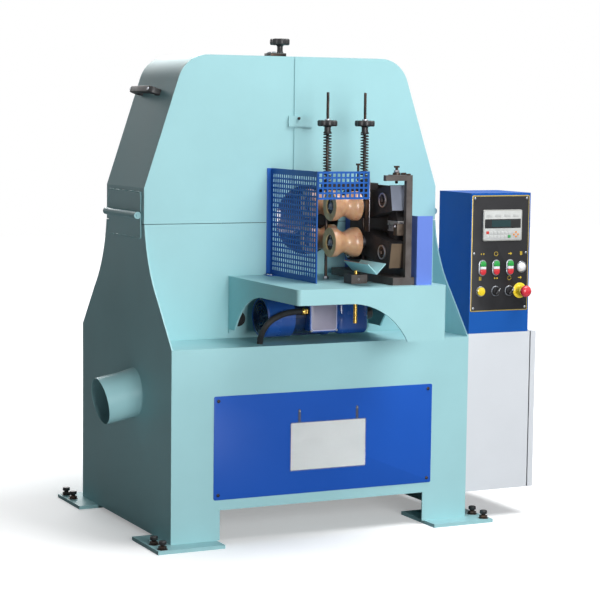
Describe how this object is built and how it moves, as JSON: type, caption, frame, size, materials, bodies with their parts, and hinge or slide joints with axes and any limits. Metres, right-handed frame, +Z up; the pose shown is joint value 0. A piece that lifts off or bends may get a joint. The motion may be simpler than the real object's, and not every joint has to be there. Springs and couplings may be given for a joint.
{
  "type": "round bar sanding machine",
  "caption": "Planetary belt sander for round bars: sheet metal cabinet with a split hinged hood, sprung roller feed on a front platform, control console and electric cabinet.",
  "frame": {"origin": "middle of the bounding box's footprint, on the floor", "axes": "+X to the viewer's right across the front, towards the console; +Y from the front to the rear, the way the bar is fed; +Z up"},
  "size_m": [1.5178, 1.207, 1.664],
  "materials": {
    "aqua_paint": "satin powder coat",
    "panel_blue": "satin powder coat",
    "guard_blue": "satin powder coat",
    "console_blue": "satin powder coat",
    "cabinet_grey": "textured powder coat",
    "motor_blue": "gloss enamel",
    "black_steel": "blackened and oiled",
    "brown_steel": "blackened plate with brown heat tint",
    "bright_steel": "turned",
    "dark_plastic": "moulded",
    "black_rubber": "smooth sheath",
    "abrasive": "coated abrasive cloth",
    "amber_roller": "cast polyurethane",
    "control_black": "matt anodised panel",
    "display_grey": "membrane front",
    "lamp_white": "frosted lens",
    "button_green": "moulded",
    "button_red": "moulded",
    "button_yellow": "moulded",
    "sign_white": "clear pocket with a blank card"
  },
  "bodies": {
    "machine": {"pedestal": "aqua_paint", "leveling_bolts": "black_steel", "access_panel": "panel_blue", "fasteners": "dark_plastic", "sign_holder": "sign_white", "dust_spigot": "aqua_paint", "platform": "aqua_paint", "left_guard": "guard_blue", "right_guard": "guard_blue", "feed_stand": "brown_steel", "spring_rods": "black_steel", "pressure_springs": "black_steel", "v_block": "brown_steel", "gearmotor": "motor_blue", "motor_cable": "black_rubber", "console_box": "console_blue", "control_panel": "control_black", "display_unit": "display_grey", "indicator_lamps": "lamp_white", "cabinet_box": "cabinet_grey", "electrics": "dark_plastic", "spindle_housing": "motor_blue", "main_motor": "motor_blue", "main_belt": "black_rubber"},
    "left_hood": {"hood_left": "aqua_paint", "left_handle": "dark_plastic"},
    "right_hood": {"hood_right": "aqua_paint", "right_handle": "dark_plastic"},
    "hood_clamp": {"clamp_knob": "dark_plastic"},
    "left_spring_knob": {"spring_knob_left": "black_steel"},
    "right_spring_knob": {"spring_knob_right": "black_steel"},
    "upper_front_arm": {"front_upper_arm": "brown_steel"},
    "lower_front_arm": {"front_lower_arm": "brown_steel"},
    "upper_rear_arm": {"rear_upper_arm": "brown_steel"},
    "lower_rear_arm": {"rear_lower_arm": "brown_steel"},
    "upper_front_roller": {"front_upper_roller": "amber_roller"},
    "lower_front_roller": {"front_lower_roller": "amber_roller"},
    "upper_rear_roller": {"rear_upper_roller": "amber_roller"},
    "lower_rear_roller": {"rear_lower_roller": "amber_roller"},
    "closing_stop": {"stop_screw": "black_steel"},
    "bar_support": {"v_support": "aqua_paint"},
    "emergency_stop": {"estop_button": "button_red"},
    "start_1": {"start_button_1": "button_green"},
    "start_2": {"start_button_2": "button_green"},
    "start_3": {"start_button_3": "button_green"},
    "stop_1": {"stop_button_1": "button_red"},
    "stop_2": {"stop_button_2": "button_red"},
    "stop_3": {"stop_button_3": "button_red"},
    "reset": {"reset_button": "button_yellow"},
    "switch_1": {"selector_1": "dark_plastic"},
    "switch_2": {"selector_2": "dark_plastic"},
    "electric_door": {"cabinet_door": "cabinet_grey"},
    "head": {"rotor_plate": "bright_steel", "spindle": "bright_steel", "head_belts": "abrasive"},
    "driver_a": {"drive_pulley_a": "bright_steel"},
    "driver_b": {"drive_pulley_b": "bright_steel"},
    "idler_a": {"idler_pulley_a": "bright_steel"},
    "idler_b": {"idler_pulley_b": "bright_steel"},
    "motor_drive": {"motor_pulley": "bright_steel"}
  },
  "joints": [
    {"name": "left_hood_swing", "type": "hinge", "parent": "machine", "child": "left_hood", "pos_m": [-0.63743, 0.11, 1.066], "axis": [0, -1, 0], "range_deg": [0, 100]},
    {"name": "right_hood_swing", "type": "hinge", "parent": "machine", "child": "right_hood", "pos_m": [0.49517, 0.11, 1.066], "axis": [0, 1, 0], "range_deg": [0, 100]},
    {"name": "clamp_turn", "type": "hinge", "parent": "left_hood", "child": "hood_clamp", "pos_m": [-0.08513, 0.0385, 1.65], "axis": [0, 0, 1], "range_deg": [-180, 180]},
    {"name": "left_spring_knob_turn", "type": "hinge", "parent": "machine", "child": "left_spring_knob", "pos_m": [-0.05613, -0.2755, 1.375], "axis": [0, 0, 1], "range_deg": [-360, 360]},
    {"name": "right_spring_knob_turn", "type": "hinge", "parent": "machine", "child": "right_spring_knob", "pos_m": [0.08388, -0.2755, 1.375], "axis": [0, 0, 1], "range_deg": [-360, 360]},
    {"name": "upper_front_swing", "type": "hinge", "parent": "machine", "child": "upper_front_arm", "pos_m": [0.07988, -0.4735, 1.13], "axis": [1, 0, 0], "range_deg": [0, 9], "stiffness_Nm_per_rad": 400, "springref_deg": -4.58, "deforming": ["pressure_springs"]},
    {"name": "lower_front_swing", "type": "hinge", "parent": "machine", "child": "lower_front_arm", "pos_m": [0.07988, -0.4735, 0.96], "axis": [1, 0, 0], "range_deg": [-9, 0]},
    {"name": "upper_rear_swing", "type": "hinge", "parent": "machine", "child": "upper_rear_arm", "pos_m": [0.07988, -0.2375, 1.15], "axis": [1, 0, 0], "range_deg": [0, 18]},
    {"name": "lower_rear_swing", "type": "hinge", "parent": "machine", "child": "lower_rear_arm", "pos_m": [0.07988, -0.2375, 0.94], "axis": [1, 0, 0], "range_deg": [-18, 0]},
    {"name": "upper_front_spin", "type": "hinge", "parent": "upper_front_arm", "child": "upper_front_roller", "pos_m": [-0.02312, -0.3335, 1.105], "axis": [1, 0, 0], "continuous": true},
    {"name": "lower_front_spin", "type": "hinge", "parent": "lower_front_arm", "child": "lower_front_roller", "pos_m": [-0.02312, -0.3335, 0.985], "axis": [1, 0, 0], "continuous": true},
    {"name": "upper_rear_spin", "type": "hinge", "parent": "upper_rear_arm", "child": "upper_rear_roller", "pos_m": [-0.02312, -0.1635, 1.105], "axis": [1, 0, 0], "continuous": true},
    {"name": "lower_rear_spin", "type": "hinge", "parent": "lower_rear_arm", "child": "lower_rear_roller", "pos_m": [-0.02312, -0.1635, 0.985], "axis": [1, 0, 0], "continuous": true},
    {"name": "stop_screw_lift", "type": "slide", "parent": "machine", "child": "closing_stop", "axis": [0, 0, 1], "range_m": [0, 0.01]},
    {"name": "support_lift", "type": "slide", "parent": "machine", "child": "bar_support", "axis": [0, 0, 1], "range_m": [0, 0.1]},
    {"name": "emergency_push", "type": "slide", "parent": "machine", "child": "emergency_stop", "axis": [0, 1, 0], "range_m": [0, 0.003]},
    {"name": "start_1_push", "type": "slide", "parent": "machine", "child": "start_1", "axis": [0, 1, 0], "range_m": [0, 0.003], "stiffness_N_per_m": 400, "springref_m": -0.002},
    {"name": "stop_1_push", "type": "slide", "parent": "machine", "child": "stop_1", "axis": [0, 1, 0], "range_m": [0, 0.003], "stiffness_N_per_m": 400, "springref_m": -0.002},
    {"name": "start_2_push", "type": "slide", "parent": "machine", "child": "start_2", "axis": [0, 1, 0], "range_m": [0, 0.003], "stiffness_N_per_m": 400, "springref_m": -0.002},
    {"name": "stop_2_push", "type": "slide", "parent": "machine", "child": "stop_2", "axis": [0, 1, 0], "range_m": [0, 0.003], "stiffness_N_per_m": 400, "springref_m": -0.002},
    {"name": "start_3_push", "type": "slide", "parent": "machine", "child": "start_3", "axis": [0, 1, 0], "range_m": [0, 0.003], "stiffness_N_per_m": 400, "springref_m": -0.002},
    {"name": "stop_3_push", "type": "slide", "parent": "machine", "child": "stop_3", "axis": [0, 1, 0], "range_m": [0, 0.003], "stiffness_N_per_m": 400, "springref_m": -0.002},
    {"name": "reset_push", "type": "slide", "parent": "machine", "child": "reset", "axis": [0, 1, 0], "range_m": [0, 0.003], "stiffness_N_per_m": 400, "springref_m": -0.002},
    {"name": "switch_1_turn", "type": "hinge", "parent": "machine", "child": "switch_1", "pos_m": [0.58788, -0.3135, 0.801], "axis": [0, 1, 0], "range_deg": [-35, 55]},
    {"name": "switch_2_turn", "type": "hinge", "parent": "machine", "child": "switch_2", "pos_m": [0.64287, -0.3135, 0.801], "axis": [0, 1, 0], "range_deg": [-35, 55]},
    {"name": "electric_door_swing", "type": "hinge", "parent": "machine", "child": "electric_door", "pos_m": [0.74587, 0.1945, 0.3], "axis": [0, 0, 1], "range_deg": [0, 110]},
    {"name": "head_spin", "type": "hinge", "parent": "machine", "child": "head", "pos_m": [-0.02312, 0.1365, 1.045], "axis": [0, 1, 0], "continuous": true},
    {"name": "driver_a_spin", "type": "hinge", "parent": "head", "child": "driver_a", "pos_m": [-0.17313, 0.0365, 1.135], "axis": [0, 1, 0], "continuous": true},
    {"name": "driver_b_spin", "type": "hinge", "parent": "head", "child": "driver_b", "pos_m": [0.12687, 0.0365, 0.955], "axis": [0, 1, 0], "continuous": true},
    {"name": "idler_a_spin", "type": "hinge", "parent": "head", "child": "idler_a", "pos_m": [0.12687, 0.0365, 1.135], "axis": [0, 1, 0], "continuous": true},
    {"name": "idler_b_spin", "type": "hinge", "parent": "head", "child": "idler_b", "pos_m": [-0.17313, 0.0365, 0.955], "axis": [0, 1, 0], "continuous": true},
    {"name": "motor_spin", "type": "hinge", "parent": "machine", "child": "motor_drive", "pos_m": [-0.25112, 0.2565, 0.262], "axis": [0, 1, 0], "continuous": true}
  ],
  "couplings": [
    {"joint": "lower_front_swing", "follows": "upper_front_swing", "ratio": -1},
    {"joint": "upper_rear_swing", "follows": "upper_front_swing", "ratio": 1.89},
    {"joint": "lower_rear_swing", "follows": "upper_front_swing", "ratio": -1.89},
    {"joint": "lower_front_spin", "follows": "upper_front_spin", "ratio": -1},
    {"joint": "upper_rear_spin", "follows": "upper_front_spin", "ratio": 1},
    {"joint": "lower_rear_spin", "follows": "upper_front_spin", "ratio": -1},
    {"joint": "driver_a_spin", "follows": "head_spin", "ratio": -2.5714},
    {"joint": "driver_b_spin", "follows": "head_spin", "ratio": -2.5714},
    {"joint": "idler_a_spin", "follows": "head_spin", "ratio": -2.5714},
    {"joint": "idler_b_spin", "follows": "head_spin", "ratio": -2.5714},
    {"joint": "motor_spin", "follows": "head_spin", "ratio": 1.8571}
  ]
}
